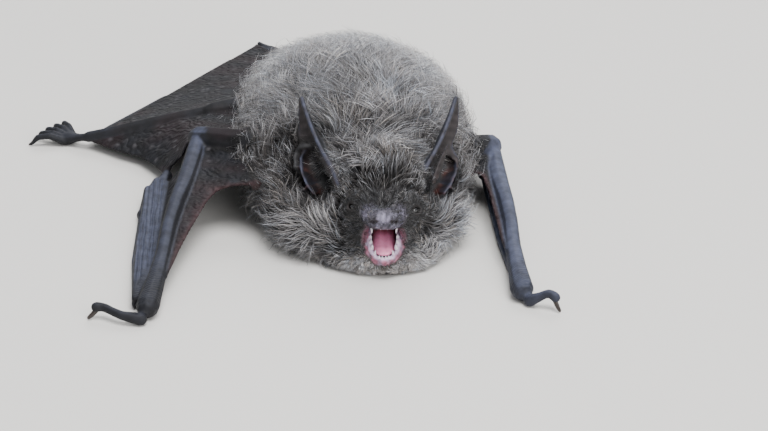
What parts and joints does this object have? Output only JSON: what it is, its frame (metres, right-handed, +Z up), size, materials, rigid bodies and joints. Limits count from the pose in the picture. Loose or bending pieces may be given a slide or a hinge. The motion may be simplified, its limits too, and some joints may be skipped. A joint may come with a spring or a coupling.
{
  "type": "whiskered bat, life-size model",
  "caption": "Small whiskered bat crawling on the ground on its folded wings, head up and mouth open, with tousled fur, pointed ears and long thin tail.",
  "frame": {"origin": "on the floor, under the middle of the bounding box", "axes": "+Z up; the animal faces -Y and its left side is towards +X; the tail trails towards +Y"},
  "size_m": [0.0622, 0.0804, 0.0162],
  "materials": {
    "coat": "tousled fur, pale tips over dark roots",
    "skin": "bare dark skin, finely wrinkled",
    "membrane": "thin dark wing skin with a soft sheen",
    "mouth": "moist pink flesh",
    "eye": "wet black",
    "claw": "horn"
  },
  "bodies": {
    "root": {"head": "coat", "lower_jaw": "coat", "neck": "coat", "trunk": "coat", "tongue": "mouth", "tail": "skin", "ear_right": "skin", "tragus_right": "skin", "upper_arm_right": "skin", "forearm_right": "skin", "thumb_right": "skin", "finger_2_right": "skin", "finger_3_right": "skin", "finger_4_right": "skin", "finger_5_right": "skin", "thigh_right": "skin", "shank_right": "skin", "foot_right": "skin", "calcar_right": "skin", "ear_left": "skin", "tragus_left": "skin", "upper_arm_left": "skin", "forearm_left": "skin", "thumb_left": "skin", "finger_2_left": "skin", "finger_3_left": "skin", "finger_4_left": "skin", "finger_5_left": "skin", "thigh_left": "skin", "shank_left": "skin", "foot_left": "skin", "calcar_left": "skin", "thumb_claw_right": "claw", "thumb_claw_left": "claw", "eye_right": "eye", "eye_left": "eye", "propatagium_right": "membrane", "plagiopatagium_right": "membrane", "hand_membrane_right": "membrane", "uropatagium_right": "membrane", "propatagium_left": "membrane", "plagiopatagium_left": "membrane", "hand_membrane_left": "membrane", "uropatagium_left": "membrane"}
  },
  "joints": []
}
